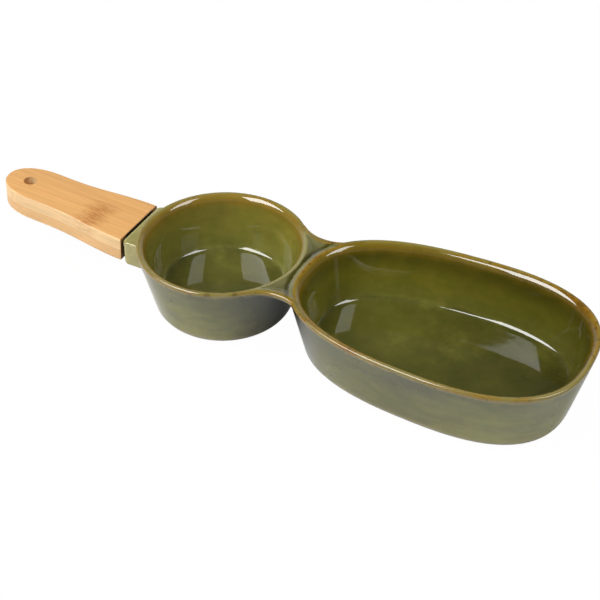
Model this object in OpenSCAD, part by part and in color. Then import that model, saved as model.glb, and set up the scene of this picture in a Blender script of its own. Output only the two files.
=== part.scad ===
// Olive dish: one piece of glazed stoneware with a small round bowl for the pits and a
// large egg-shaped bowl for the olives, joined at their rims by a bridge. A flat tang of
// the stoneware is cemented into a bamboo handle glued up from four strips.
// Frame: +X runs from the handle to the large bowl and +Z is up. The origin is halfway
// along the whole length, on the plane that the dish stands on.

/* [Rims and walls] */
// Height of both rims above the table
rim_h = 40; // [34:0.5:46]
// Thickness of the walls at the rim
wall = 4.3; // [3.8:0.1:5]
// Radius that rounds each edge of a rim
rim_round = 1.8; // [0.8:0.1:1.8]
// Height of the floors above the table
floor_h = 10.2; // [8.6:0.2:11.8]
// Radius where a floor turns up into its wall
floor_round = 4; // [3:0.5:7]
// Radius of the outside bottom edge
heel_round = 7; // [4:0.5:9]
// Width of the unglazed foot ring that each bowl stands on
foot_w = 4; // [3:0.5:6]
// Depth of the recess inside a foot ring
foot_recess = 3.6; // [2.4:0.2:4.4]

/* [Pit bowl] */
// Outside radius of the round bowl at its rim
pit_r = 45; // [42:0.5:48]
// How far its wall leans in from the rim to the table
pit_lean = 9.6; // [6:0.2:12]

/* [Olive bowl] */
// Distance from the centre of the round bowl to that of the large bowl
bowl_pitch = 121.8; // [119:0.2:123]
// Half the outside length of the large bowl at its rim
olive_half_l = 77; // [75:0.1:79]
// Half its outside width at its rim, in the middle
olive_half_w = 49.6; // [46:0.2:53]
// How much its half width grows from the middle to the far end
olive_egg = 3.8; // [0:0.2:6]
// How square its plan is: 1 is an ellipse and lower values are squarer
olive_corner_share = 0.79; // [0.7:0.01:1]
// How far its wall leans in from the rim to the table
olive_lean = 9.2; // [6:0.2:12]
// Extra thickness of its wall beside the bridge
olive_bridge_wall = 1.4; // [0:0.1:2]

/* [Bridge] */
// Half the width of the bridge at its narrowest
bridge_half_w = 26.4; // [23:0.2:30]
// Radius of the hollow curve on each side of the bridge
bridge_curve_r = 21; // [18:0.5:24]
// Thickness of the bridge below the rims
bridge_t = 4.4; // [4:0.1:8]
// Depth of the valley between the two rims
valley_depth = 1.6; // [0.8:0.1:2.2]
// Width of the rim bead left beside the valley
bead_w = 2.6; // [1.8:0.1:3]
// Width of the lip along the hollow curves
lip_w = 5; // [3:0.5:6]

/* [Stub] */
// Width of the stub that faces the handle
stub_w = 37; // [32:0.5:42]
// Height of the stub
stub_h = 13.9; // [12:0.1:16]
// Distance from the outside of the round rim to the end of the stub
stub_reach = 5.1; // [3:0.1:8]
// Height of the top of the stub above the table
stub_top = 33.8; // [31:0.2:35]
// Radius of the stub's upright corners
stub_round = 4; // [2.5:0.5:5.5]

/* [Tang] */
// Width of the tang, over its round edges
tang_w = 20; // [16:0.5:24]
// Thickness of the tang
tang_t = 5.6; // [5:0.2:7]
// Length of the tang inside the handle
tang_l = 30; // [24:1:36]
// Gap all round the tang that the cement fills
cement_t = 0.5; // [0.3:0.1:0.8]

/* [Handle] */
// Length of the handle
handle_l = 84; // [74:1:100]
// Thickness of the handle, both layers together
handle_t = 13.8; // [11:0.2:15]
// Width of the handle at its open end
handle_end_w = 35.6; // [32:0.4:40]
// Width of the handle along its neck
handle_neck_w = 27.4; // [24:0.2:30]
// Length over which the end narrows to the neck
handle_flare_l = 50; // [44:1:54]
// Length of the rounded tip
handle_tip_l = 23; // [16:1:26]
// Roundness of the tip's plan: 1 is an ellipse and lower values are fuller
handle_tip_share = 0.93; // [0.8:0.01:1]
// Radius that eases the handle's outer edges
handle_ease = 0.8; // [0.4:0.1:1.4]
// Angle by which the handle rises towards its tip
handle_tilt = 3.5; // [0:0.5:6]
// Gap between the middle of the handle's open end and the stub
handle_gap = 1.8; // [1.5:0.1:3.5]
// Height of the middle of the handle's open end above the table
handle_end_z = 27.1; // [26:0.1:28.5]
// Radius of the hanging hole
hole_r = 3.6; // [3:0.1:4.6]
// Distance from the handle's tip to the middle of the hanging hole
hole_inset = 13.9; // [11:0.1:16]
// Distance of the edge joints between strips from the handle's centre line
strip_joint_y = 6; // [4.8:0.2:8]

/* [Hidden] */

// How far a cutting form runs past what it cuts
overrun = 1;
// Steps around each bowl, around a quarter of a rounded edge and along a flank
$fn = 96;
around = 80;
quarter_steps = 5;
flank_steps = 14;

// Places along X, counted from the centre of the round bowl
stub_end_x = -pit_r - stub_reach;
handle_end_x = stub_end_x - handle_gap;
tip_x = handle_end_x - handle_l * cos(handle_tilt) - handle_t / 2 * sin(handle_tilt);
far_x = bowl_pitch + olive_half_l;
origin_x = (tip_x + far_x) / 2;

// The centres of the hollow curves: each touches the round rim, and its nearest
// point to the centre line is the bridge's narrowest
curve_y = bridge_half_w + bridge_curve_r;
curve_x = sqrt(pow(pit_r + bridge_curve_r, 2) - pow(curve_y, 2));
// The large bowl's near end is close to an arc about this place
olive_end_x = bowl_pitch - olive_half_l / 2;

mortise_w = tang_w + 2 * cement_t;
mortise_t = tang_t + 2 * cement_t;
mortise_l = tang_l + cement_t;

// Points on an arc about a centre, as [inset, height], from one angle to another
function arc(centre, r, from, to) =
    [for (i = [0:quarter_steps])
        let (a = from + (to - from) * i / quarter_steps)
        centre + r * [cos(a), sin(a)]];

// The distance from a corner to where a fillet of radius r meets either side
function reach(r, corner) = r / tan(corner / 2);

// A bowl's outside, as [inset from the rim's outline, height], from the foot to the rim
function outside(lean) =
    let (a = atan(lean / rim_h), heel = lean + reach(heel_round, 90 + a),
         top = reach(rim_round, 90 - a))
    concat(arc([heel, heel_round], heel_round, 270, 180 + a),
           arc([top, rim_h - rim_round], rim_round, 180 + a, 90));

// A bowl's inside, from the floor to above the rim
function inside(lean) =
    let (a = atan(lean / rim_h), foot = wall + (rim_h - floor_h) * tan(a),
         turn = foot + reach(floor_round, 90 + a),
         top = wall - reach(rim_round, 90 + a))
    concat(arc([turn, floor_h + floor_round], floor_round, 270, 180 + a),
           arc([top, rim_h - rim_round], rim_round, a, 90),
           [[top, rim_h + overrun]]);

// The inset of the foot ring's outer edge
function foot_inset(lean) = lean + reach(heel_round, 90 + atan(lean / rim_h));

// One level outline of the large bowl, inset from its rim's outline and set over
// towards the far end by push
function egg(inset, z, push = 0) =
    [for (i = [0:around - 1])
        let (a = 360 * i / around,
             u = sign(cos(a)) * pow(abs(cos(a)), olive_corner_share),
             v = sign(sin(a)) * pow(abs(sin(a)), olive_corner_share),
             half_l = olive_half_l - inset - push / 2)
        [bowl_pitch + push / 2 + half_l * u,
         (olive_half_w - inset + olive_egg * u) * v, z]];

// One level outline of the handle, inset from its full outline, with its open end at
// x = 0 and its tip towards -X
function flank(d) =
    handle_neck_w / 2 + (d > handle_flare_l ? 0 :
        (handle_end_w - handle_neck_w) * (1 + cos(180 * d / handle_flare_l)) / 4);
function handle_side(inset) =
    let (straight = handle_l - handle_tip_l)
    concat(
        [for (i = [0:flank_steps - 1])
            let (d = inset + (straight - inset) * i / flank_steps)
            [-d, flank(d) - inset]],
        [for (i = [0:flank_steps])
            let (a = 90 * i / flank_steps)
            [-straight - (handle_tip_l - inset) * pow(sin(a), handle_tip_share),
             (handle_neck_w / 2 - inset) * pow(cos(a), handle_tip_share)]]);
function handle_ring(inset, z) =
    let (side = handle_side(inset), n = len(side))
    concat([for (p = side) [p.x, p.y, z]],
           [for (i = [n - 2:-1:0]) [side[i].x, -side[i].y, z]]);

// The corners of the bridge on one side of the centre line: where a hollow curve meets
// the round rim, the curve's centre, and where the curve meets the large rim
function bridge_corners(side) =
    let (centre = [curve_x, side * curve_y], ray = [olive_end_x, 0] - centre)
    [centre * pit_r / (pit_r + bridge_curve_r), centre, centre + ray * bridge_curve_r / norm(ray)];

// A closed solid skinned over level rings with equal numbers of points, lowest first
module skin(rings) {
    n = len(rings[0]);
    last = len(rings) - 1;
    polyhedron(
        points = [for (ring = rings, p = ring) p],
        faces = concat(
            [[for (i = [0:n - 1]) i]],
            [for (k = [0:last - 1], i = [0:n - 1])
                let (a = k * n + i, b = k * n + (i + 1) % n)
                for (face = [[a, a + n, b + n], [a, b + n, b]]) face],
            [[for (i = [n - 1:-1:0]) last * n + i]]));
}

// Everything is drawn from the centre of the round bowl and then set on the origin
module placed() translate([-origin_x, 0, 0]) children();

// The tilted frame of the handle, from the middle of its open end
module on_handle() translate([handle_end_x, 0, handle_end_z]) rotate([0, handle_tilt, 0]) children();

module pit_outside()
    rotate_extrude()
        polygon(concat([[0, 0]], [for (p = outside(pit_lean)) [pit_r - p.x, p.y]], [[0, rim_h]]));

module pit_inside()
    rotate_extrude()
        polygon(concat([[0, floor_h]], [for (p = inside(pit_lean)) [pit_r - p.x, p.y]],
                       [[0, rim_h + overrun]]));

module olive_outside()
    skin([for (p = outside(olive_lean)) egg(p.x, p.y)]);

module olive_inside()
    skin([for (p = inside(olive_lean)) egg(p.x, p.y, olive_bridge_wall)]);

// The plan of the bridge between the two bowls, with the hollow curves grown by grow
module bridge_plan(grow = 0)
    difference() {
        polygon(concat([[0, 0]], bridge_corners(1), [[olive_end_x, 0]],
                       [for (i = [2:-1:0]) bridge_corners(-1)[i]]));
        for (side = [-1, 1])
            translate([curve_x, side * curve_y]) circle(bridge_curve_r + grow);
    }

// The bridge, with its outer edges rounded above and below as the rims are
module bridge() {
    bottom = rim_h - bridge_t;
    round_x = bridge_curve_r + rim_round;
    outer_x = bridge_curve_r - overrun;
    difference() {
        translate([0, 0, bottom]) linear_extrude(bridge_t) bridge_plan();
        for (side = [-1, 1])
            translate([curve_x, side * curve_y, 0])
                rotate_extrude()
                    polygon(concat(
                        arc([round_x, bottom + rim_round], rim_round, 270, 180),
                        arc([round_x, rim_h - rim_round], rim_round, 180, 90),
                        [[round_x, rim_h + overrun], [outer_x, rim_h + overrun],
                         [outer_x, bottom - overrun], [round_x, bottom - overrun]]));
    }
}

// The shallow valley between the beads of the two rims and the lips of the bridge
module valley()
    translate([0, 0, rim_h - valley_depth])
        linear_extrude(valley_depth + overrun)
            difference() {
                bridge_plan(lip_w);
                circle(pit_r - wall + bead_w);
                polygon([for (p = egg(wall - bead_w, 0, olive_bridge_wall)) [p.x, p.y]]);
            }

// The block that stands out from the round bowl and faces the handle
module stub()
    translate([0, 0, stub_top - stub_h])
        linear_extrude(stub_h) {
            translate([stub_end_x + stub_round, -stub_w / 2])
                square([pit_r + stub_reach - stub_round, stub_w]);
            translate([stub_end_x, stub_round - stub_w / 2])
                square([stub_round, stub_w - 2 * stub_round]);
            for (side = [-1, 1])
                translate([stub_end_x + stub_round, side * (stub_w / 2 - stub_round)])
                    circle(stub_round);
        }

// A bar with round edges along X, from one place to another in the handle's frame
module bar(width, thickness, from, to)
    translate([from, 0, 0])
        rotate([90, 0, 90])
            linear_extrude(to - from) {
                square([width - thickness, thickness], center = true);
                for (side = [-1, 1])
                    translate([side * (width - thickness) / 2, 0]) circle(thickness / 2);
            }

module tang() on_handle() bar(tang_w, tang_t, -tang_l, handle_gap + stub_round);

module mortise() bar(mortise_w, mortise_t, -mortise_l, overrun);

// The recess inside a foot ring
module pit_recess()
    translate([0, 0, -overrun])
        cylinder(r = pit_r - foot_inset(pit_lean) - foot_w, h = overrun + foot_recess);
module olive_recess()
    translate([0, 0, -overrun])
        linear_extrude(overrun + foot_recess)
            polygon([for (p = egg(foot_inset(olive_lean) + foot_w, 0)) [p.x, p.y]]);

// Both bowls, the bridge, the stub and the tang are one fired piece
module dish()
    color("darkolivegreen")
        placed()
            difference() {
                union() {
                    pit_outside();
                    olive_outside();
                    bridge();
                    stub();
                    tang();
                }
                pit_inside();
                olive_inside();
                valley();
                pit_recess();
                olive_recess();
            }

// One of the two glued layers of the handle, its outer edges eased
module layer(level)
    mirror([0, 0, level > 0 ? 0 : 1])
        skin(concat([handle_ring(0, 0)],
            [for (p = arc([handle_ease, handle_t / 2 - handle_ease], handle_ease, 180, 90))
                handle_ring(p.x, p.y)]));

// One strip of a layer, between two places across the handle
module strip(level, from, to)
    placed()
        on_handle()
            difference() {
                intersection() {
                    layer(level);
                    translate([-handle_l - overrun, from, -handle_t])
                        cube([handle_l + 2 * overrun, to - from, 2 * handle_t]);
                }
                mortise();
                translate([hole_inset - handle_l, 0, 0])
                    cylinder(r = hole_r, h = handle_t + 2 * overrun, center = true);
            }

module upper_near_strip() color("burlywood") strip(1, -handle_end_w, strip_joint_y);
module upper_far_strip() color("burlywood") strip(1, strip_joint_y, handle_end_w);
module lower_near_strip() color("sandybrown") strip(-1, -handle_end_w, -strip_joint_y);
module lower_far_strip() color("sandybrown") strip(-1, -strip_joint_y, handle_end_w);

// The cement that fills the mortise around and behind the tang
module tang_cement()
    color("dimgray")
        placed()
            on_handle()
                difference() {
                    bar(mortise_w, mortise_t, -mortise_l, 0);
                    bar(tang_w, tang_t, -tang_l, overrun);
                }

dish();
upper_near_strip();
upper_far_strip();
lower_near_strip();
lower_far_strip();
tang_cement();
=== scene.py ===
from math import atan, cos, degrees, pi, radians, sin, sqrt, tan

import bmesh
import bpy
import numpy as np
from mathutils import Matrix, Vector


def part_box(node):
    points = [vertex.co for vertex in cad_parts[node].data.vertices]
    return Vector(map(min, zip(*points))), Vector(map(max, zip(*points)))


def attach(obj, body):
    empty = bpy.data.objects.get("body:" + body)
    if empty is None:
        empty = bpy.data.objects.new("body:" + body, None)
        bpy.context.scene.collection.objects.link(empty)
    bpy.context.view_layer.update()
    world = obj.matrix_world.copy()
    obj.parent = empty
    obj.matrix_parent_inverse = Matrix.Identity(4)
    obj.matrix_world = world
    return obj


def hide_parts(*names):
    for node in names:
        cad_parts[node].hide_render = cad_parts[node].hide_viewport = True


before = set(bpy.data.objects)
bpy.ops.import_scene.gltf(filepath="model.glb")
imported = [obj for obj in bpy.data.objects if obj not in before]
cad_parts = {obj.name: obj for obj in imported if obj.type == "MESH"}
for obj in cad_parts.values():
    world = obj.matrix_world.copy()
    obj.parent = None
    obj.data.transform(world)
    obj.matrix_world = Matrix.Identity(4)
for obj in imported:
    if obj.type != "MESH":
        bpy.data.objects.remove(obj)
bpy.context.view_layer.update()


# The dish is one fired body of slip-cast stoneware: a round bowl for pits and a large
# egg-shaped bowl for olives, both with leaning walls, a rounded rim and a foot ring. Its
# height and its far end are read from the model, and its other sizes are given here.
MM = 0.001
WALL = 4.3 * MM
RIM_ROUND = 1.3 * MM
LIP_ROUND = 4.6 * MM
FLOOR_H = 10.2 * MM
FLOOR_ROUND = 3.6 * MM
FLOOR_DIP = 0.6 * MM
FLOOR_DIP_W = 26.0 * MM
HEEL_ROUND = 7.0 * MM
FOOT_W = 4.0 * MM
FOOT_RECESS = 3.6 * MM
FOOT_RECESS_LEAN = 0.5
PIT_R = 45.0 * MM
PIT_LEAN = 9.6 * MM
BOWL_PITCH = 121.8 * MM
OLIVE_HALF_L = 77.0 * MM
OLIVE_HALF_W = 49.6 * MM
OLIVE_EGG = 3.8 * MM
OLIVE_CORNER = 0.79
OLIVE_LEAN = 9.2 * MM
OLIVE_BRIDGE_WALL = 1.4 * MM
OVERRUN = 1.0 * MM
ARC_STEPS = 8
RING_STEPS = 240
dish_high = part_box("dish")[1]
RIM_H = dish_high[2]
OLIVE_X = dish_high[0] - OLIVE_HALF_L
PIT_X = OLIVE_X - BOWL_PITCH


def arc(centre, r, start, end):
    """Points on an arc as (inset, height), from one angle to another in degrees."""
    turns = [radians(start + (end - start) * i / ARC_STEPS) for i in range(ARC_STEPS + 1)]
    return [(centre[0] + r * cos(t), centre[1] + r * sin(t)) for t in turns]


def lean_angle(lean):
    """A wall's lean in degrees, from how far it leans in over the dish's height."""
    return degrees(atan(lean / RIM_H))


def fillet_reach(r, corner):
    """How far from a corner of so many degrees a fillet of radius r meets either side."""
    return r / tan(radians(corner) / 2)


def outside_profile(lean):
    """A bowl's outside from its foot recess to its rim, as (inset, height)."""
    tilt = lean_angle(lean)
    heel = lean + fillet_reach(HEEL_ROUND, 90 + tilt)
    top = fillet_reach(RIM_ROUND, 90 - tilt)
    return (
        [(heel + FOOT_W + FOOT_RECESS_LEAN * FOOT_RECESS, FOOT_RECESS), (heel + FOOT_W, 0.0)]
        + arc((heel, HEEL_ROUND), HEEL_ROUND, 270, 180 + tilt)
        + arc((top, RIM_H - RIM_ROUND), RIM_ROUND, 180 + tilt, 90)
    )


def inside_profile(lean):
    """A bowl's inside from the middle of its dipped floor to just above its rim."""
    tilt = lean_angle(lean)
    corner = WALL + (RIM_H - FLOOR_H) * lean / RIM_H + fillet_reach(FLOOR_ROUND, 90 + tilt)
    top = WALL - fillet_reach(LIP_ROUND, 90 + tilt)
    slope = degrees(atan(2 * FLOOR_DIP / FLOOR_DIP_W))
    floor = [
        (corner + FLOOR_DIP_W * s, FLOOR_H - FLOOR_DIP * (1 - (1 - s) ** 2))
        for s in (1.0, 0.8, 0.6, 0.4, 0.2)
    ]
    return (
        floor
        + arc((corner, FLOOR_H + FLOOR_ROUND), FLOOR_ROUND, 270 - slope, 180 + tilt)
        + arc((top, RIM_H - LIP_ROUND), LIP_ROUND, tilt, 90)
        + [(top, RIM_H + OVERRUN)]
    )


def circle_at(turn, inset):
    """The pit bowl's outline."""
    return PIT_X + (PIT_R - inset) * cos(turn), (PIT_R - inset) * sin(turn)


def egg_at(turn, inset, bridge_wall=0.0):
    """The olive bowl's outline, an egg with squared corners."""
    c, s = cos(turn), sin(turn)
    u = abs(c) ** OLIVE_CORNER * (1 if c > 0 else -1)
    v = abs(s) ** OLIVE_CORNER * (1 if s > 0 else -1)
    half_l = OLIVE_HALF_L - inset - bridge_wall / 2
    return (
        OLIVE_X + bridge_wall / 2 + half_l * u,
        (OLIVE_HALF_W - inset + OLIVE_EGG * u) * v,
    )


def egg_inside_at(turn, inset):
    """The same egg for the inside, whose wall is thicker where the bridge joins it."""
    return egg_at(turn, inset, OLIVE_BRIDGE_WALL)


def new_piece(name, bm):
    """An object at the origin that holds what bm holds, with its faces pointing out."""
    bmesh.ops.recalc_face_normals(bm, faces=bm.faces)
    mesh = bpy.data.meshes.new(name)
    bm.to_mesh(mesh)
    bm.free()
    obj = bpy.data.objects.new(name, mesh)
    bpy.context.scene.collection.objects.link(obj)
    return obj


def lofted(name, outline, profile):
    """A closed form whose level rings follow one outline, inset as the profile says."""
    bm = bmesh.new()
    below = None
    for level, (inset, z) in enumerate(profile):
        closing = level in (0, len(profile) - 1)
        circle = bmesh.ops.create_circle(bm, segments=RING_STEPS, cap_ends=closing, radius=1.0)
        for i, v in enumerate(circle["verts"]):
            v.co = (*outline(2 * pi * i / RING_STEPS, inset), z)
        edges = list({e for v in circle["verts"] for e in v.link_edges})
        if below:
            bmesh.ops.bridge_loops(bm, edges=below + edges)
        below = edges
    return new_piece(name, bm)


def settle(obj):
    """Makes obj's modifiers part of its mesh."""
    graph = bpy.context.evaluated_depsgraph_get()
    done = bpy.data.meshes.new_from_object(obj.evaluated_get(graph))
    obj.modifiers.clear()
    old = obj.data
    obj.data = done
    done.name = obj.name
    bpy.data.meshes.remove(old)


def carve(obj, tool, how="DIFFERENCE"):
    """Adds a tool to obj or cuts it away, and removes the tool."""
    step = obj.modifiers.new(tool.name, "BOOLEAN")
    step.object = tool
    step.operation = how
    step.solver = "MANIFOLD"
    settle(obj)
    bpy.data.objects.remove(tool)


dish = lofted("dish_outside", circle_at, outside_profile(PIT_LEAN))
carve(dish, lofted("olive_outside", egg_at, outside_profile(OLIVE_LEAN)), "UNION")

# The bridge is a web of the same clay between the two rims, with a hollow curve on either
# side. Its edges are rounded, and its top sinks to a valley between the rims' beads.
BRIDGE_HALF_W = 26.4 * MM
BRIDGE_CURVE_R = 21.0 * MM
BRIDGE_T = 4.4 * MM
BRIDGE_UNDER_ROUND = 2.9 * MM
VALLEY_DEPTH = 1.6 * MM
VALLEY_SLOPE = 4.2 * MM
BEAD_W = 2.2 * MM
LIP_W = 2.8 * MM
CURVE_STEPS = 24
SPIN_STEPS = 120
CURVE_Y = BRIDGE_HALF_W + BRIDGE_CURVE_R
CURVE_X = PIT_X + sqrt((PIT_R + BRIDGE_CURVE_R) ** 2 - CURVE_Y**2)
OLIVE_END_X = OLIVE_X - OLIVE_HALF_L / 2


def raised(bm, face, offset):
    """Pulls a face out into a solid by an offset, and gives the vertices it moved."""
    pulled = bmesh.ops.extrude_face_region(bm, geom=[face])["geom"]
    moved = [g for g in pulled if isinstance(g, bmesh.types.BMVert)]
    bmesh.ops.translate(bm, verts=moved, vec=offset)
    return moved


def prism(name, plan, low, high, top_plan=None):
    """An upright block on a plan, or one whose sides lean out to another plan on top."""
    bm = bmesh.new()
    face = bm.faces.new([bm.verts.new((x, y, low)) for x, y in plan])
    top = raised(bm, face, (0, 0, high - low))
    if top_plan:
        places = {(round(x, 7), round(y, 7)): at for (x, y), at in zip(plan, top_plan)}
        for v in top:
            v.co.xy = places[round(v.co.x, 7), round(v.co.y, 7)]
    return new_piece(name, bm)


def bridge_plan(grow):
    """The bridge's plan, with the radius of its hollow curves larger by grow."""
    centre = Vector((CURVE_X, CURVE_Y))
    start = (Vector((PIT_X, 0)) - centre).normalized()
    end = (Vector((OLIVE_END_X, 0)) - centre).normalized()
    sweep = start.angle_signed(end)
    curve = [
        centre + (BRIDGE_CURVE_R + grow) * (Matrix.Rotation(-sweep * i / CURVE_STEPS, 2) @ start)
        for i in range(CURVE_STEPS + 1)
    ]
    upper = [(PIT_X, 0.0)] + [(p.x, p.y) for p in curve] + [(OLIVE_END_X, 0.0)]
    return upper + [(x, -y) for x, y in reversed(upper[1:-1])]


def edge_rounder(side):
    """A spun ring that cuts the bridge's edge round along its hollow curve on one side."""
    bottom = RIM_H - BRIDGE_T
    top_x = BRIDGE_CURVE_R + RIM_ROUND
    under_x = BRIDGE_CURVE_R + BRIDGE_UNDER_ROUND
    outer_x = BRIDGE_CURVE_R - OVERRUN
    outline = (
        arc((under_x, bottom + BRIDGE_UNDER_ROUND), BRIDGE_UNDER_ROUND, 270, 180)
        + arc((top_x, RIM_H - RIM_ROUND), RIM_ROUND, 180, 90)
        + [(top_x, RIM_H + OVERRUN), (outer_x, RIM_H + OVERRUN),
           (outer_x, bottom - OVERRUN), (under_x, bottom - OVERRUN)]
    )
    bm = bmesh.new()
    loop = [bm.verts.new((r, 0, z)) for r, z in outline]
    edges = [bm.edges.new(pair) for pair in zip(loop, loop[1:] + loop[:1])]
    bmesh.ops.spin(bm, geom=loop + edges, cent=(0, 0, 0), axis=(0, 0, 1), angle=2 * pi,
                   steps=SPIN_STEPS, use_merge=True)
    bmesh.ops.translate(bm, verts=bm.verts, vec=(CURVE_X, side * CURVE_Y, 0))
    return new_piece("edge_rounder", bm)


bridge = prism("bridge", bridge_plan(0.0), RIM_H - BRIDGE_T, RIM_H)
for side in (-1, 1):
    carve(bridge, edge_rounder(side))
carve(dish, bridge, "UNION")

# The stub faces the handle, and the flat tang behind it runs into the handle's mortise,
# along the handle's own tilted axis. Both are the dish's clay, joined on before firing.
STUB_W = 37.0 * MM
STUB_H = 14.6 * MM
STUB_TOP = 33.8 * MM
STUB_REACH = 5.7 * MM
STUB_CORNER_ROUND = 3.2 * MM
STUB_TOP_ROUND = 1.1 * MM
STUB_HEEL_ROUND = 1.6 * MM
TANG_W = 20.0 * MM
TANG_T = 5.6 * MM
TANG_L = 30.0 * MM
HANDLE_TILT = radians(3.5)
HANDLE_GAP = 1.2 * MM
HANDLE_END_Z = 27.1 * MM
BAR_STEPS = 16
STUB_END_X = PIT_X - PIT_R - STUB_REACH
HANDLE_END = Vector((STUB_END_X - HANDLE_GAP, 0, HANDLE_END_Z))
ON_HANDLE = Matrix.Translation(HANDLE_END) @ Matrix.Rotation(HANDLE_TILT, 4, "Y")


def bevel(bm, edges, r, segments):
    """Rounds these edges to a radius."""
    bmesh.ops.bevel(bm, geom=edges, offset=r, affect="EDGES", segments=segments, profile=0.5,
                    material=-1)


def bar(name, width, thickness, start, end):
    """A bar with round edges, along X in the handle's frame."""
    bm = bmesh.new()
    r = thickness / 2
    plan = [(side * ((width / 2 - r) + r * sin(t)), side * -r * cos(t))
            for side in (1, -1) for t in [pi * i / BAR_STEPS for i in range(BAR_STEPS + 1)]]
    face = bm.faces.new([bm.verts.new((start, y, z)) for y, z in plan])
    raised(bm, face, (end - start, 0, 0))
    bmesh.ops.transform(bm, matrix=ON_HANDLE, verts=bm.verts)
    return new_piece(name, bm)


def stub():
    """A block that starts inside the pit bowl, rounded where it faces the handle."""
    bm = bmesh.new()
    bmesh.ops.create_cube(bm, size=1.0)
    length = PIT_R / 2 + STUB_REACH
    bmesh.ops.scale(bm, vec=(length, STUB_W, STUB_H), verts=bm.verts)
    bmesh.ops.translate(bm, verts=bm.verts,
                        vec=(STUB_END_X + length / 2, 0, STUB_TOP - STUB_H / 2))
    corners = [e for e in bm.edges if abs(e.verts[0].co.z - e.verts[1].co.z) > STUB_H / 2
               and e.verts[0].co.x < STUB_END_X + OVERRUN]
    bevel(bm, corners, STUB_CORNER_ROUND, 8)
    for level, r in ((STUB_TOP, STUB_TOP_ROUND), (STUB_TOP - STUB_H, STUB_HEEL_ROUND)):
        ends = [e for e in bm.edges if all(abs(v.co.z - level) < OVERRUN / 2 for v in e.verts)
                and min(v.co.x for v in e.verts) < PIT_X - PIT_R / 2 - OVERRUN]
        bevel(bm, ends, r, 6)
    return new_piece("stub", bm)


carve(dish, stub(), "UNION")
tang = bar("tang", TANG_W, TANG_T, -TANG_L, HANDLE_GAP + STUB_CORNER_ROUND)
carve(dish, tang, "UNION")

# The bowls are hollowed and the valley is sunk once all the clay is joined. The valley's
# block is first cut back from both bowls, which leaves a bead along each rim.
carve(dish, lofted("pit_inside", circle_at, inside_profile(PIT_LEAN)))
carve(dish, lofted("olive_inside", egg_inside_at, inside_profile(OLIVE_LEAN)))
spread = VALLEY_SLOPE / VALLEY_DEPTH
valley = prism("valley", bridge_plan(LIP_W + VALLEY_SLOPE), RIM_H - VALLEY_DEPTH,
               RIM_H + OVERRUN, bridge_plan(LIP_W - VALLEY_SLOPE * OVERRUN / VALLEY_DEPTH))
bead = [(WALL - BEAD_W - 2 * VALLEY_DEPTH * spread, RIM_H - 2 * VALLEY_DEPTH),
        (WALL - BEAD_W + 2 * OVERRUN * spread, RIM_H + 2 * OVERRUN)]
carve(valley, lofted("pit_bead", circle_at, bead))
carve(valley, lofted("olive_bead", egg_inside_at, bead))
carve(dish, valley)

# The glaze lies over the clay in one coat that softens every edge. So the whole form is
# skinned again in fine cells and relaxed, and how much more relaxing would take off an
# edge says how thin the glaze runs there.
CELL = 0.62 * MM
SOFTEN_TIMES = 12
SOFTEN_STEPS = (0.5, -0.52)
TRIANGLES_KEPT = 190000
THIN_TIMES = 14
THIN_FULL = 0.16 * MM
FADE_TIMES = 8
FADE_STEPS = (0.6,)


def read(mesh):
    """A mesh's points, and its edges as pairs of point numbers."""
    points = np.empty(len(mesh.vertices) * 3)
    mesh.vertices.foreach_get("co", points)
    edges = np.empty(len(mesh.edges) * 2, dtype=np.int64)
    mesh.edges.foreach_get("vertices", edges)
    return points.reshape(-1, 3), edges.reshape(-1, 2)


def relaxed(values, edges, times, steps):
    """Each point's values moved towards its neighbours' mean, or away, step by step."""
    count = np.bincount(edges.ravel(), minlength=len(values))[:, None]
    for step in steps * times:
        total = np.zeros_like(values)
        for i, column in enumerate(values.T):
            total[:, i] = np.bincount(
                edges[:, 0], column[edges[:, 1]], len(values)
            ) + np.bincount(edges[:, 1], column[edges[:, 0]], len(values))
        values = values + step * (total / count - values)
    return values


cells = dish.modifiers.new("cells", "REMESH")
cells.mode = "VOXEL"
cells.voxel_size = CELL
settle(dish)
points, edges = read(dish.data)
softened = relaxed(points, edges, SOFTEN_TIMES, SOFTEN_STEPS)
dish.data.vertices.foreach_set("co", softened.ravel())
dish.data.update()
fewer = dish.modifiers.new("fewer", "DECIMATE")
fewer.ratio = TRIANGLES_KEPT / (2 * len(dish.data.polygons))
settle(dish)
dish.name = dish.data.name = "glazed_dish"
dish.data.shade_smooth()

# The glaze's marks are painted on the dish's points: where it runs thin, the bowls'
# insides, how far in from the rim's edge a point lies, the valley's pool, the pit
# bowl's bead and the stub.
EDGE_SLACK = 0.3 * MM
BRIDGE_LIP_SHIFT = 2.6 * MM
RIM_BAND_H = 2.2 * MM
OFF_RIM = 20.0 * MM
POOL_FADE = 6.0 * MM
POOL_PIT_EDGE = 1.3 * MM
POOL_OLIVE_EDGE = 0.4 * MM
BEAD_FROM = 1.2 * MM
BEAD_TO = 5.5 * MM
BEAD_START_X = PIT_X + 27.0 * MM
EGG_POWER = 2 / OLIVE_CORNER


def paint(name, values):
    """Stores a value on each of the dish's points, for its glaze to read."""
    layer = dish.data.attributes.new(name, "FLOAT", "POINT")
    layer.data.foreach_set("value", values.astype(np.float32))


def faded(zone):
    """A zone of points as shares from 0 to 1 that fade across its border."""
    return relaxed(zone.astype(float)[:, None], edges, FADE_TIMES, FADE_STEPS)[:, 0]


def egg_sum(x, y, inset):
    """What is 1 on the olive bowl's outline at this inset, less inside and more outside."""
    along = (x - OLIVE_X) / (OLIVE_HALF_L - inset)
    across = y / (OLIVE_HALF_W - inset + OLIVE_EGG * along)
    return np.abs(along) ** EGG_POWER + np.abs(across) ** EGG_POWER


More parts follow.
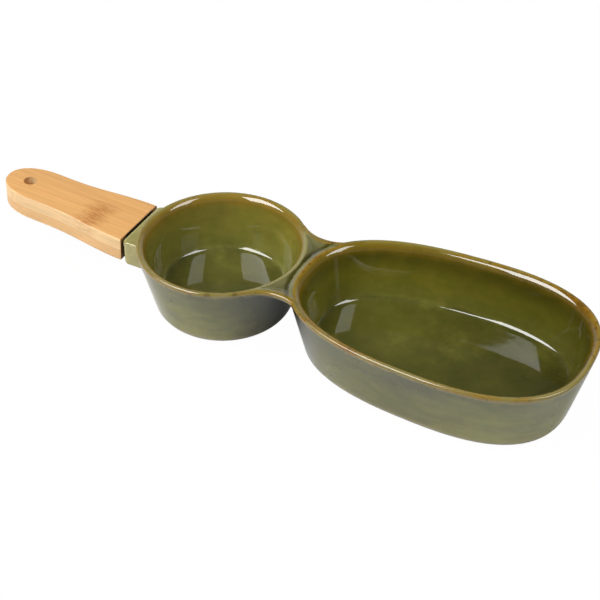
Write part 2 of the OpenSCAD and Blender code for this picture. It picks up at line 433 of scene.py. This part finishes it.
points, edges = read(dish.data)
x, y, z = points.T
normals = np.empty(len(points) * 3)
dish.data.vertices.foreach_get("normal", normals)
taken = points - relaxed(points, edges, THIN_TIMES, FADE_STEPS)
paint("glaze_thin", (taken * normals.reshape(-1, 3)).sum(1) / THIN_FULL)

lean_left = 1 - np.clip(z, 0, RIM_H) / RIM_H
from_pit = np.hypot(x - PIT_X, y)
in_pit = from_pit < PIT_R - WALL / 2 - PIT_LEAN * lean_left
in_olive = egg_sum(x, y, WALL / 2 + OLIVE_LEAN * lean_left) < 1
paint("glaze_inner", (in_pit | in_olive) & (z > FLOOR_H - FLOOR_DIP - OVERRUN))

pit_in = PIT_R - from_pit
egg_share = egg_sum(x, y, 0.0) ** (1 / EGG_POWER)
olive_in = (1 - egg_share) / egg_share * np.hypot(x - OLIVE_X, y)
curve_in = np.hypot(x - CURVE_X, np.abs(y) - CURVE_Y) - BRIDGE_CURVE_R
rim_in = np.where(olive_in > -EDGE_SLACK, olive_in, curve_in)
rim_in = np.where(pit_in > -EDGE_SLACK, pit_in, rim_in)
rim_in[curve_in < LIP_W] += BRIDGE_LIP_SHIFT
outer_wall = (pit_in < WALL / 2) & (olive_in < WALL / 2) & (z < RIM_H - RIM_BAND_H)
rim_in[outer_wall | (z < RIM_H / 2)] = OFF_RIM
paint("glaze_rim", np.clip(rim_in, 0, OFF_RIM) / MM)

in_valley = (pit_in < POOL_PIT_EDGE) & (olive_in < POOL_OLIVE_EDGE)
paint("glaze_pool", np.clip(1 + olive_in / POOL_FADE, 0, 1) * in_valley)
on_bead = (pit_in > BEAD_FROM) & (pit_in < BEAD_TO) & (x > BEAD_START_X) & (curve_in > LIP_W)
paint("glaze_bead", faded(on_bead))
off_bowl = from_pit > PIT_R - PIT_LEAN * lean_left + OVERRUN / 2
paint("glaze_pale", faded(off_bowl & (x < PIT_X - PIT_R / 2)))

# The glaze is a glossy olive one. It breaks to amber and burnt brown where it runs thin
# on the rims, lies pale on the stub, and leaves the clay of both foot rings bare. Bands
# run from the foot to the rim, and a rim's own run inwards, with 0.1 for each mm.
PIT_BANDS = [
    (0.24, (0.072, 0.070, 0.015)), (0.33, (0.150, 0.144, 0.030)), (0.60, (0.160, 0.146, 0.025)),
    (0.82, (0.176, 0.148, 0.024)), (0.95, (0.205, 0.128, 0.013))]
OLIVE_BANDS = [
    (0.24, (0.074, 0.072, 0.012)), (0.33, (0.137, 0.129, 0.021)), (0.60, (0.132, 0.119, 0.013)),
    (0.84, (0.086, 0.073, 0.007)), (0.95, (0.140, 0.092, 0.007))]
OUTSIDE_BANDS = [
    (0.02, (0.188, 0.172, 0.038)), (0.25, (0.130, 0.124, 0.022)), (0.55, (0.106, 0.102, 0.014)),
    (0.80, (0.082, 0.082, 0.014)), (0.92, (0.078, 0.075, 0.014)), (0.99, (0.130, 0.098, 0.018))]
# The valley's top: darker glaze where it pools, and elsewhere painted pale as a painted
# reflection.
VALLEY_POOL_AND_SHEEN = [
    (0.10, (0.170, 0.160, 0.062)), (0.50, (0.168, 0.158, 0.058)), (0.85, (0.055, 0.050, 0.006))]
CREST_BANDS = [
    (0.03, (0.205, 0.130, 0.024)), (0.08, (0.200, 0.165, 0.055)), (0.17, (0.205, 0.174, 0.056)),
    (0.45, (0.150, 0.115, 0.018)), (0.60, (0.150, 0.120, 0.020)), (0.80, (0.200, 0.170, 0.065))]
AMBERS = [
    (0.42, (0.180, 0.142, 0.028)), (0.52, (0.205, 0.122, 0.012)), (0.62, (0.190, 0.088, 0.005))]
MOTTLING = [(0.36, (0.86, 0.90, 0.84)), (0.64, (1.0, 0.98, 1.0))]
BARE_CLAY = [(0.35, (0.36, 0.27, 0.17)), (0.65, (0.47, 0.37, 0.25))]
AMBER_BAND = [(0.12, 0), (0.22, 1), (0.38, 1), (0.58, 0)]
BROKEN_BAND = [(0.32, 1), (0.60, 0), (0.88, 0), (1.0, 1)]
RIM_BAND_END = 0.7
SPECK_EDGE = [(0.08, 0), (0.13, 1)]
# Painted shade below the rim where the bridge meets both bowls.
UNDER_BRIDGE_PAINTED_SHADE = (0.022, 0.023, 0.007)
STUB_OLIVE = (0.298, 0.262, 0.096)
# The pit bowl's bead: olive glaze, painted pale as a painted reflection.
BEAD_OLIVE_AND_SHEEN = (0.215, 0.208, 0.092)
POOLED_OLIVE = (0.070, 0.063, 0.009)
BURNT_BROWN = (0.055, 0.024, 0.003)
SPECK_BROWN = (0.05, 0.032, 0.012)
# Painted light and shade along the olive bowl's inside, from its near end to its far end.
OLIVE_INSIDE_PAINTED_LIGHT_AND_SHADE = (1.5, 0.54)
OLIVE_OUTSIDE_LIGHT = (1.0, 1.9)
# Painted shade, as a factor from the pit bowl's middle to the olive bowl's near end.
BRIDGEWARD_PAINTED_SHADE = (1.05, 0.80)
CLOUD_LIGHT = (0.88, 1.14)
RUN_STRETCH = (1.0, 1.0, 3.2)
SHADE_X = CURVE_X + 3.0 * MM
SHADE_CORE = 12.0 * MM
SHADE_END = 30.0 * MM
NEAR_LIP = (PIT_X + 20.0 * MM, -40.0 * MM, RIM_H)
NEAR_LIP_CORE = 8.0 * MM
NEAR_LIP_END = 26.0 * MM
BARE_H = 0.45 * MM
BARE_FULL_H = 0.2 * MM
GLAZE_IOR = 1.64


def node(tree, kind, inputs=(), **settings):
    """A shader node with its settings, and inputs as (socket, value or link)."""
    made = tree.nodes.new(kind)
    for key, value in settings.items():
        setattr(made, key, value)
    for key, value in dict(inputs).items():
        if isinstance(value, bpy.types.NodeSocket):
            tree.links.new(value, made.inputs[key])
        else:
            made.inputs[key].default_value = value
    return made


def maths(tree, operation, *values):
    """One operation, such as ADD, on numbers or links."""
    return node(tree, "ShaderNodeMath", enumerate(values), operation=operation).outputs[0]


def remap(tree, value, start, end, low=0.0, high=1.0):
    """A value that goes from low to high while the given one goes from start to end."""
    return node(tree, "ShaderNodeMapRange", {
        "Value": value, "From Min": start, "From Max": end, "To Min": low, "To Max": high,
    }).outputs[0]


def noise(tree, where, scale, detail, roughness=0.5):
    """A cloudy pattern from 0 to 1, with more clouds to the metre at a larger scale."""
    return node(tree, "ShaderNodeTexNoise", {
        "Vector": where, "Scale": scale, "Detail": detail, "Roughness": roughness,
    }).outputs["Fac"]


def stretched(tree, where, scale):
    """The same places with each axis scaled, so that a pattern on them is drawn out."""
    return node(tree, "ShaderNodeMapping", {"Vector": where, "Scale": scale}).outputs[0]


def apart(tree, vector):
    """A vector's X, Y and Z."""
    return node(tree, "ShaderNodeSeparateXYZ", {"Vector": vector}).outputs


def facing(tree):
    """The X, Y and Z of the way that the surface faces."""
    return apart(tree, node(tree, "ShaderNodeNewGeometry").outputs["Normal"])


def painted(tree, name):
    """What was painted on the dish's points under a name."""
    return node(tree, "ShaderNodeAttribute", attribute_name=name).outputs["Fac"]


def ramp(tree, factor, stops):
    """A colour ramp on factor, with stops as (place, colour)."""
    made = node(tree, "ShaderNodeValToRGB", {"Fac": factor})
    made.color_ramp.interpolation = "EASE"
    elements = made.color_ramp.elements
    while len(elements) < len(stops):
        elements.new(0.5)
    for element, (place, colour) in zip(elements, stops):
        element.position = place
        element.color = (*colour, 1)
    return made.outputs["Color"]


def mask(tree, factor, stops):
    """A share from 0 to 1 that follows factor, with stops as (place, share)."""
    return ramp(tree, factor, [(place, (share, share, share)) for place, share in stops])


def blend_colour(tree, factor, first, second, how="MIX"):
    """The first colour at factor 0 and the second at 1. Each may be a link."""
    made = node(tree, "ShaderNodeMix", data_type="RGBA", blend_type=how)
    for socket, value in zip((made.inputs["Factor"], *made.inputs[6:8]), (factor, first, second)):
        if isinstance(value, bpy.types.NodeSocket):
            tree.links.new(value, socket)
        else:
            socket.default_value = value if isinstance(value, float) else (*value, 1)
    return made.outputs[2]


def lightened(tree, colour, factor):
    """A colour made lighter or darker by a factor."""
    return node(tree, "ShaderNodeHueSaturation", {"Color": colour, "Value": factor}).outputs[0]


def new_finish(name):
    """A material, its nodes, its shader, and the place of each point on the object."""
    made = bpy.data.materials.new(name)
    made.use_nodes = True
    tree = made.node_tree
    where = node(tree, "ShaderNodeTexCoord").outputs["Object"]
    return made, tree, tree.nodes["Principled BSDF"], where


def join_finish(tree, shader, colour, roughness, relief, strength, depth):
    """Joins a finish's colour, roughness and relief to its shader."""
    bump = node(tree, "ShaderNodeBump", {"Height": relief, "Strength": strength,
                                         "Distance": depth}).outputs[0]
    for socket, link in (("Base Color", colour), ("Roughness", roughness), ("Normal", bump)):
        tree.links.new(link, shader.inputs[socket])


def inside_coat(tree, east, level):
    """Both bowls' insides, the olive bowl's with painted light at its near end and painted shade
    that darkens it towards its far end.
    """
    # Painted light and shade: the olive bowl's inside is lighter at its near end and darker at
    # its far end.
    olive_painted_shade = remap(tree, east, OLIVE_X - OLIVE_HALF_L, OLIVE_X + OLIVE_HALF_L,
                        *OLIVE_INSIDE_PAINTED_LIGHT_AND_SHADE)
    olive = lightened(tree, ramp(tree, level, OLIVE_BANDS), olive_painted_shade)
    in_olive_bowl = maths(tree, "GREATER_THAN", east, PIT_X + PIT_R)
    return blend_colour(tree, in_olive_bowl, ramp(tree, level, PIT_BANDS), olive)


def outside_coat(tree, east, level, flow, pool):
    """The outside walls, lighter towards the far end, and the valley's flat top, darker where its
    glaze pools and painted pale elsewhere as a painted reflection.
    """
    on_flat = remap(tree, facing(tree)["Z"], 0.55, 0.85)
    # Partly painted reflection: the valley's flat top away from the pool is painted pale.
    coat = blend_colour(tree, on_flat, ramp(tree, level, OUTSIDE_BANDS),
                        ramp(tree, pool, VALLEY_POOL_AND_SHEEN))
    far_light = remap(tree, east, OLIVE_X, OLIVE_X + OLIVE_HALF_L, *OLIVE_OUTSIDE_LIGHT)
    streaks = remap(tree, flow, 0.35, 0.65, 0.88, 1.12)
    return lightened(tree, coat, maths(tree, "MULTIPLY", far_light, streaks))


def painted_shade_under_bridge(tree, east, height):
    """Painted shade: the dark colour's share below the rim, where the bridge meets both bowls."""
    away = maths(tree, "ABSOLUTE", maths(tree, "SUBTRACT", east, SHADE_X))
    near = remap(tree, away, SHADE_CORE, SHADE_END, 0.9, 0.0)
    below = remap(tree, height, RIM_H - 2.4 * MM, RIM_H - 1.1 * MM, 1.0, 0.0)
    return maths(tree, "MULTIPLY", near, below)


def tone_and_painted_shade(tree, east, cloud, wobble):
    """How light the coat is: in clouds and in runs, with painted shade that darkens it from the
    pit bowl's middle towards the bridge, so that it is lighter towards the handle.
    """
    clouds = remap(tree, cloud, 0.35, 0.65, *CLOUD_LIGHT)
    # Painted shade: darker from the pit bowl's middle towards the olive bowl's near end.
    along = remap(tree, east, PIT_X + PIT_R / 2, OLIVE_X - OLIVE_HALF_L, *BRIDGEWARD_PAINTED_SHADE)
    runs = maths(tree, "MULTIPLY_ADD", wobble, 0.55, 1.0)
    return maths(tree, "MULTIPLY", maths(tree, "MULTIPLY", clouds, along), runs)


def broken_share(tree, cloud, wobble, rim, painted_shade_or_stub):
    """How far the glaze breaks, on edges where it runs thin, apart from under the painted shade
    and on the stub.
    """
    uneven = maths(tree, "MULTIPLY_ADD", maths(tree, "SUBTRACT", cloud, 0.5), 1.1, wobble)
    thin = maths(tree, "MULTIPLY_ADD", uneven, 0.7, painted(tree, "glaze_thin"))
    share = remap(tree, thin, 0.36, 0.80, 0.0, 0.92)
    share = maths(tree, "MULTIPLY", share, maths(tree, "SUBTRACT", 1.0, painted_shade_or_stub))
    return maths(tree, "MULTIPLY", share, mask(tree, rim, BROKEN_BAND))


def broken_coat(tree, where, east, cloud, rim, pool):
    """The broken glaze: a pale crest, an amber band, burnt spots and the pit's bead, whose olive
    glaze is painted pale as a painted reflection.
    """
    near_lip = node(tree, "ShaderNodeVectorMath", {0: where, 1: NEAR_LIP},
                    operation="DISTANCE").outputs["Value"]
    near_lip = remap(tree, near_lip, NEAR_LIP_CORE, NEAR_LIP_END, 1.0, 0.0)
    burnt = maths(tree, "MULTIPLY_ADD", cloud, 0.9, noise(tree, where, 420.0, 2.0))
    burnt = maths(tree, "MULTIPLY_ADD", near_lip, 0.15, burnt)
    burnt = remap(tree, burnt, 1.03, 1.13, 0.0, 0.55)
    amber = blend_colour(tree, burnt, ramp(tree, cloud, AMBERS), BURNT_BROWN)
    pooled = remap(tree, pool, 0.55, 0.85)
    crest = blend_colour(tree, pooled, ramp(tree, rim, CREST_BANDS), POOLED_OLIVE)
    band = maths(tree, "MULTIPLY", mask(tree, rim, AMBER_BAND),
                 remap(tree, east, PIT_X - PIT_R, PIT_X, 0.25, 1.0))
    patch = maths(tree, "MULTIPLY_ADD", east, 1.1, noise(tree, where, 30.0, 2.0))
    patch = maths(tree, "MULTIPLY_ADD", near_lip, 0.20, patch)
    patch = maths(tree, "MULTIPLY", remap(tree, patch, 0.54, 0.64, 0.0, 0.85),
                  maths(tree, "LESS_THAN", rim, RIM_BAND_END))
    coat = blend_colour(tree, maths(tree, "MAXIMUM", band, patch), crest, amber)
    # Painted reflection: the pit bowl's bead is painted pale.
    bead_sheen_part = maths(tree, "MULTIPLY", painted(tree, "glaze_bead"), 0.85)
    return blend_colour(tree, bead_sheen_part, coat, BEAD_OLIVE_AND_SHEEN)


def specked(tree, where, coat):
    """The coat with sparse, small, darker specks in it."""
    spots = node(tree, "ShaderNodeTexVoronoi", {"Vector": where, "Scale": 330.0}).outputs
    drawn = node(tree, "ShaderNodeSeparateColor", {"Color": spots["Color"]}).outputs["Red"]
    clear = maths(tree, "MAXIMUM", mask(tree, spots["Distance"], SPECK_EDGE),
                  maths(tree, "LESS_THAN", drawn, 0.93))
    return blend_colour(tree, clear, blend_colour(tree, 0.55, coat, SPECK_BROWN), coat)


def glaze():
    """The glaze, put together from its coats, with bare clay under the feet."""
    made, tree, shader, where = new_finish("olive_glaze")
    place = apart(tree, where)
    east, height = place["X"], place["Z"]
    cloud = noise(tree, where, 24.0, 4.0, 0.55)
    flow = noise(tree, stretched(tree, where, RUN_STRETCH), 50.0, 6.0, 0.6)
    mottle = noise(tree, where, 170.0, 5.0, 0.65)
    wobble = maths(tree, "SUBTRACT", flow, 0.5)
    level = maths(tree, "MULTIPLY_ADD", wobble, 0.2, remap(tree, height, 0.0, RIM_H))
    rim = maths(tree, "MULTIPLY_ADD", wobble, 2.5, painted(tree, "glaze_rim"))
    rim = maths(tree, "MULTIPLY", rim, 0.1)
    pool, on_stub = painted(tree, "glaze_pool"), painted(tree, "glaze_pale")
    shaded = painted_shade_under_bridge(tree, east, height)

    outside = outside_coat(tree, east, level, flow, pool)
    # Painted shade: the outside is darkened below the rim where the bridge meets both bowls.
    outside = blend_colour(tree, shaded, outside, UNDER_BRIDGE_PAINTED_SHADE)
    outside = blend_colour(tree, on_stub, outside, STUB_OLIVE)
    coat = blend_colour(tree, painted(tree, "glaze_inner"), outside,
                        inside_coat(tree, east, level))
    coat = lightened(tree, coat, tone_and_painted_shade(tree, east, cloud, wobble))
    coat = blend_colour(tree, 1.0, coat, ramp(tree, mottle, MOTTLING), how="MULTIPLY")
    # The painted shade and the stub are kept from breaking.
    painted_shade_or_stub = maths(tree, "MAXIMUM", shaded, on_stub)
    coat = blend_colour(tree, broken_share(tree, cloud, wobble, rim, painted_shade_or_stub), coat,
                        broken_coat(tree, where, east, cloud, rim, pool))
    bare = remap(tree, height, BARE_H, BARE_FULL_H)
    coat = blend_colour(tree, bare, specked(tree, where, coat), ramp(tree, mottle, BARE_CLAY))

    gloss = remap(tree, bare, 0.0, 1.0, remap(tree, cloud, 0.3, 0.7, 0.03, 0.06), 0.8)
    join_finish(tree, shader, coat, gloss, noise(tree, where, 60.0, 2.0), 0.02, 2.0 * MM)
    shader.inputs["IOR"].default_value = GLAZE_IOR
    return made


dish.data.materials.clear()
dish.data.materials.append(glaze())
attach(dish, "root")
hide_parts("dish")


# The handle: four strips of bamboo, glued edge to edge in two layers and milled to one
# outline, with a mortise in its open end and a hanging hole through its tip. The near
# strip of the upper layer has a knuckle of the bamboo in it.
HANDLE_L = 84.0 * MM
HANDLE_T = 13.8 * MM
HANDLE_END_W = 35.6 * MM
HANDLE_NECK_W = 27.4 * MM
HANDLE_FLARE_L = 50.0 * MM
HANDLE_TIP_L = 23.0 * MM
HANDLE_TIP = 0.93
HANDLE_EASE = 0.8 * MM
HOLE_R = 3.6 * MM
HOLE_INSET = 13.9 * MM
STRIP_JOINT_Y = 6.0 * MM
CEMENT_T = 0.5 * MM
STRAIGHT_L = HANDLE_L - HANDLE_TIP_L
STRAIGHT_STEPS = 40
TIP_STEPS = 32
HOLE_SIDES = 64
SHARP_EDGE = radians(35)
GRAIN_STRETCH = (0.014, 1, 1)
# The side colours are painted light: the handle's upright sides are painted paler than its top,
# for the light that falls on them.
UPPER_BAMBOO = {
    "pale": (0.590, 0.325, 0.118), "dark": (0.535, 0.277, 0.094), "side": (0.74, 0.495, 0.25)}
LOWER_BAMBOO = {
    "pale": (0.60, 0.315, 0.115), "dark": (0.52, 0.245, 0.078), "side": (0.70, 0.415, 0.18)}
LIT_SIDE_BAND_DARKER = 0.87
# Dark end grain, and painted shade in the gap by the stub that goes black towards the middle.
END_GRAIN_AND_GAP_SHADE = [(0.72, (0.012, 0.007, 0.004)), (0.87, (0.20, 0.09, 0.026))]
KNUCKLE_BROWN = (0.37, 0.160, 0.045)
KNUCKLE_X = HANDLE_END.x - 22.4 * MM
KNUCKLE_STRAY = 16.0 * MM
KNUCKLE_SLANT = -0.10
KNUCKLE_CORE = 2.0 * MM
KNUCKLE_END = 9.5 * MM
DASH_STRETCH = (0.16, 1, 1)


def handle_side():
    """One side of the handle's plan, from the open end to the tip."""
    side = []
    for i in range(STRAIGHT_STEPS):
        d = STRAIGHT_L * i / STRAIGHT_STEPS
        flare = (1 + cos(pi * min(d / HANDLE_FLARE_L, 1))) / 2
        side.append((-d, (HANDLE_NECK_W + (HANDLE_END_W - HANDLE_NECK_W) * flare) / 2))
    for i in range(TIP_STEPS + 1):
        t = pi / 2 * i / TIP_STEPS
        side.append((-STRAIGHT_L - HANDLE_TIP_L * sin(t) ** HANDLE_TIP,
                     HANDLE_NECK_W / 2 * max(cos(t), 0) ** HANDLE_TIP))
    return side


def strip(name, layer, low_y, high_y):
    """One strip: a layer of the outline, eased, cut at its joints, mortised and bored."""
    side = handle_side()
    plan = side + [(x, -y) for x, y in reversed(side[:-1])]
    bm = bmesh.new()
    face = bm.faces.new([bm.verts.new((x, y, 0)) for x, y in plan])
    outer = raised(bm, face, (0, 0, layer * HANDLE_T / 2))
    bevel(bm, [e for e in bm.edges if e.verts[0] in outer and e.verts[1] in outer],
          HANDLE_EASE, 5)
    for y, way in ((low_y, -1), (high_y, 1)):
        cut = bmesh.ops.bisect_plane(bm, geom=bm.verts[:] + bm.edges[:] + bm.faces[:],
                                     plane_co=(0, y, 0), plane_no=(0, way, 0), clear_outer=True)
        seam = [g for g in cut["geom_cut"] if isinstance(g, bmesh.types.BMEdge)]
        if seam:
            bmesh.ops.holes_fill(bm, edges=seam)
    bmesh.ops.transform(bm, matrix=ON_HANDLE, verts=bm.verts)
    piece = new_piece(name, bm)
    carve(piece, bar("mortise", TANG_W + 2 * CEMENT_T, TANG_T + 2 * CEMENT_T,
                     -TANG_L - CEMENT_T, OVERRUN))
    if low_y < -HOLE_R and high_y > HOLE_R:
        bm = bmesh.new()
        bmesh.ops.create_cone(bm, cap_ends=True, segments=HOLE_SIDES, radius1=HOLE_R,
                              radius2=HOLE_R, depth=2 * HANDLE_T)
        place = ON_HANDLE @ Matrix.Translation((HOLE_INSET - HANDLE_L, 0, 0))
        bmesh.ops.transform(bm, matrix=place, verts=bm.verts)
        carve(piece, new_piece("hole", bm))
    piece.data.shade_smooth()
    piece.data.set_sharp_from_angle(angle=SHARP_EDGE)
    return piece


def end_grain_and_painted_shade(tree, wood, facing_east, place):
    """The wood with its open end darkened: dark end grain, with painted shade that goes black
    deep in the gap by the stub, paler at the sides and the top edge.
    """
    on_end = remap(tree, facing_east, 0.6, 0.9)
    by_stub = maths(tree, "GREATER_THAN", place["X"], HANDLE_END.x - 3 * MM)
    top_z = HANDLE_END.z + HANDLE_T / 2
    upper = remap(tree, place["Z"], top_z - 1.8 * MM, top_z - 0.9 * MM, 0.0, 3 * MM)
    outward = maths(tree, "ADD", maths(tree, "ABSOLUTE", place["Y"]), upper)
    # Painted shade: black deep in the gap, brown end grain at the sides and the top edge.
    grain_and_gap_shade = ramp(tree, maths(tree, "MULTIPLY", outward, 50.0), END_GRAIN_AND_GAP_SHADE)
    return blend_colour(tree, maths(tree, "MULTIPLY", on_end, by_stub), wood, grain_and_gap_shade)


def knuckled(tree, wood, lying, place, facing_up):
    """The wood with a knuckle's brown dashes across it, fading towards the far side."""
    dashes = stretched(tree, lying, DASH_STRETCH)
    strayed = maths(tree, "MULTIPLY_ADD", noise(tree, dashes, 330.0, 3.0, 0.6), KNUCKLE_STRAY,
                    place["X"])
    strayed = maths(tree, "MULTIPLY_ADD", place["Y"], KNUCKLE_SLANT, strayed)
    away = maths(tree, "SUBTRACT", strayed, KNUCKLE_X + KNUCKLE_STRAY / 2)
    mark = remap(tree, maths(tree, "ABSOLUTE", away), KNUCKLE_CORE, KNUCKLE_END, 1.0, 0.0)
    struck = remap(tree, noise(tree, dashes, 1300.0, 2.0, 0.6), 0.44, 0.54, 0.35, 1.0)
    on_top = remap(tree, facing_up, 0.3, 0.9, 0.3, 1.0)
    nearer = remap(tree, place["Y"], 0.0, 7 * MM, 1.0, 0.2)
    for share in (struck, on_top, nearer):
        mark = maths(tree, "MULTIPLY", mark, share)
    return blend_colour(tree, mark, wood, KNUCKLE_BROWN)


def bamboo(name, colours, grain_shift, has_knuckle):
    """Satin bamboo: long pale and dark fibres along the handle, each a fine ridge."""
    made, tree, shader, where = new_finish(name)
    place, face = apart(tree, where), facing(tree)
    lying = node(tree, "ShaderNodeMapping", {
        "Vector": where, "Location": (grain_shift, grain_shift * 0.37, 0),
        "Rotation": (0, -HANDLE_TILT, 0)}).outputs[0]
    along_grain = stretched(tree, lying, GRAIN_STRETCH)
    band = noise(tree, along_grain, 480.0, 5.0, 0.7)
    fibre = noise(tree, along_grain, 1200.0, 4.0, 0.75)
    lit_side_dark = tuple(c * LIT_SIDE_BAND_DARKER for c in colours["side"])
    # Painted light: faces that look sideways get the paler side colours.
    wood = blend_colour(
        tree, remap(tree, maths(tree, "ABSOLUTE", face["Y"]), 0.3, 0.8),
        ramp(tree, band, [(0.30, colours["pale"]), (0.70, colours["dark"])]),
        ramp(tree, band, [(0.30, colours["side"]), (0.72, lit_side_dark)]))
    wood = end_grain_and_painted_shade(tree, wood, face["X"], place)
    wood = lightened(tree, wood, remap(tree, fibre, 0.30, 0.72, 1.12, 0.82))
    if has_knuckle:
        wood = knuckled(tree, wood, lying, place, face["Z"])
    worn = remap(tree, fibre, 0.0, 1.0, 0.58, 0.40)
    join_finish(tree, shader, wood, worn, fibre, 0.12, 0.4 * MM)
    shader.inputs["Specular IOR Level"].default_value = 0.35
    return made


# Each strip has its layer, the Y where it starts and ends, and a shift of its grain.
strips = {
    "upper_near_strip": (1, -HANDLE_END_W, STRIP_JOINT_Y, 0.0),
    "upper_far_strip": (1, STRIP_JOINT_Y, HANDLE_END_W, 0.31),
    "lower_near_strip": (-1, -HANDLE_END_W, -STRIP_JOINT_Y, 0.57),
    "lower_far_strip": (-1, -STRIP_JOINT_Y, HANDLE_END_W, 0.83),
}
for name, (layer, low_y, high_y, grain_shift) in strips.items():
    colours = UPPER_BAMBOO if layer > 0 else LOWER_BAMBOO
    has_knuckle = name == "upper_near_strip"
    piece = strip(name + "_wood", layer, low_y, high_y)
    piece.data.materials.clear()
    piece.data.materials.append(bamboo(name + "_bamboo", colours, grain_shift, has_knuckle))
    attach(piece, "root")
    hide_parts(name)


# The cement around the tang is a dark filled resin that holds the handle on. It shows
# only as a dark line in the mortise's mouth, so the model's own form is kept and only
# its finish is made.
CEMENT_BROWNS = [(0.3, (0.03, 0.02, 0.012)), (0.7, (0.07, 0.045, 0.028))]


def cement():
    """Matt resin with a fine grit in it."""
    made, tree, shader, where = new_finish("tang_cement")
    grit = noise(tree, where, 900.0, 3.0)
    matt = remap(tree, grit, 0.0, 1.0, 0.6, 0.85)
    join_finish(tree, shader, ramp(tree, grit, CEMENT_BROWNS), matt, grit, 0.3, 0.3 * MM)
    return made


cement_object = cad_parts["tang_cement"]
cement_object.data.materials.clear()
cement_object.data.materials.append(cement())


# The table is a white sweep, not part of the object. The camera sees it as plain white
# with the dish's own faint shadow, and the glaze sees it as a grey one.
TABLE_SIZE = 3.0
TABLE_DROP = 0.05 * MM
TABLE_GREY = 0.76
CAMERA_WHITE = 0.985
MIRRORED_WHITE = 0.08
bm = bmesh.new()
bmesh.ops.create_grid(bm, x_segments=1, y_segments=1, size=TABLE_SIZE)
bmesh.ops.translate(bm, verts=bm.verts, vec=(0, 0, -TABLE_DROP))
table = new_piece("table", bm)
table_finish = bpy.data.materials.new("white_table")
table_finish.use_nodes = True
tree = table_finish.node_tree
shader = tree.nodes["Principled BSDF"]
shader.inputs["Base Color"].default_value = (TABLE_GREY, TABLE_GREY, TABLE_GREY, 1)
shader.inputs["Roughness"].default_value = 0.9
shader.inputs["Specular IOR Level"].default_value = 0.1
white = node(tree, "ShaderNodeEmission", {"Color": (1, 1, 1, 1), "Strength": 1.0}).outputs[0]
rays = node(tree, "ShaderNodeLightPath").outputs
mirrored = maths(tree, "MAXIMUM", rays["Is Glossy Ray"], rays["Is Transmission Ray"])
white_part = maths(tree, "MULTIPLY_ADD", rays["Is Camera Ray"], CAMERA_WHITE,
                   maths(tree, "MULTIPLY", mirrored, MIRRORED_WHITE))
mixed = node(tree, "ShaderNodeMixShader", {0: white_part, 1: shader.outputs[0], 2: white})
tree.links.new(mixed.outputs[0], tree.nodes["Material Output"].inputs["Surface"])
table.data.materials.append(table_finish)


# The studio: a dim room that is lighter near the table, a bright wall behind on the
# left, and two upright soft lamps. The camera sees all of it as plain white.
LAMP_DISTANCE = 0.9


def studio_light(tree):
    """How bright the room is in each direction."""
    way = apart(tree, node(tree, "ShaderNodeTexCoord").outputs["Generated"])
    room = remap(tree, way["Z"], 0.05, 0.4, 0.3, 0.08)
    wall = remap(tree, way["Z"], 0.40, 0.52, 0.8, 0.08)
    for share in (
        remap(tree, way["Z"], 0.24, 0.40, 0.65, 1.0),
        remap(tree, way["Y"], 0.1, 0.4),
        remap(tree, way["X"], 0.4, 0.1),
    ):
        wall = maths(tree, "MULTIPLY", wall, share)
    return maths(tree, "MAXIMUM", room, wall)


def softbox(name, azimuth, half_width, low, high, radiance):
    """An upright soft lamp that faces the dish and spans these angles, in degrees, as seen
    from it. Azimuth 0 is along -Y, where the viewer stands, and 90 is along +X."""
    lamp = bpy.data.lights.new(name, "AREA")
    lamp.shape = "RECTANGLE"
    bottom_z, top_z = (LAMP_DISTANCE * tan(radians(e)) for e in (low, high))
    lamp.size = 2 * LAMP_DISTANCE * tan(radians(half_width))
    lamp.size_y = top_z - bottom_z
    lamp.energy = radiance * pi * lamp.size * lamp.size_y
    box = bpy.data.objects.new(name, lamp)
    outward = Vector((sin(radians(azimuth)), -cos(radians(azimuth)), 0))
    box.location = outward * LAMP_DISTANCE + Vector((0, 0, (bottom_z + top_z) / 2))
    box.rotation_euler = outward.to_track_quat("Z", "Y").to_euler()
    bpy.context.scene.collection.objects.link(box)


world = bpy.data.worlds.new("studio")
bpy.context.scene.world = world
world.use_nodes = True
tree = world.node_tree
tree.nodes.clear()
seen = node(tree, "ShaderNodeLightPath").outputs["Is Camera Ray"]
strength = maths(tree, "MAXIMUM", studio_light(tree), seen)
sky = node(tree, "ShaderNodeBackground", {"Color": (1, 1, 1, 1), "Strength": strength})
node(tree, "ShaderNodeOutputWorld", {"Surface": sky.outputs[0]})
softbox("left_box", azimuth=-42.0, half_width=29.0, low=36.0, high=68.8, radiance=11.2)
softbox("right_box", azimuth=97.0, half_width=17.0, low=36.0, high=70.0, radiance=7.2)

# The camera stands where the photograph's did. Its place, roll and focal length were
# worked out from the outlines of both rims, both feet and the handle.
CAMERA_AZIMUTH = radians(27.49)
CAMERA_ELEVATION = radians(39.06)
CAMERA_ROLL = radians(0.31)
CAMERA_DISTANCE = 702.6 * MM
FOCAL_LENGTH_PX = 1378.9
FRAME_PX = 600
AIM = Vector((PIT_X + 46.22 * MM, -2.44 * MM, 20.0 * MM))
lens = bpy.data.cameras.new("camera")
lens.sensor_width = 36.0
lens.lens = FOCAL_LENGTH_PX / FRAME_PX * lens.sensor_width
camera = bpy.data.objects.new("camera", lens)
level_part = cos(CAMERA_ELEVATION)
back = Vector((sin(CAMERA_AZIMUTH) * level_part, -cos(CAMERA_AZIMUTH) * level_part,
               sin(CAMERA_ELEVATION)))
camera.location = AIM + back * CAMERA_DISTANCE
roll = Matrix.Rotation(CAMERA_ROLL, 4, "Z").to_quaternion()
camera.rotation_euler = (back.to_track_quat("Z", "Y") @ roll).to_euler()
bpy.context.scene.collection.objects.link(camera)
bpy.context.scene.camera = camera
bpy.context.scene.view_settings.view_transform = "Standard"
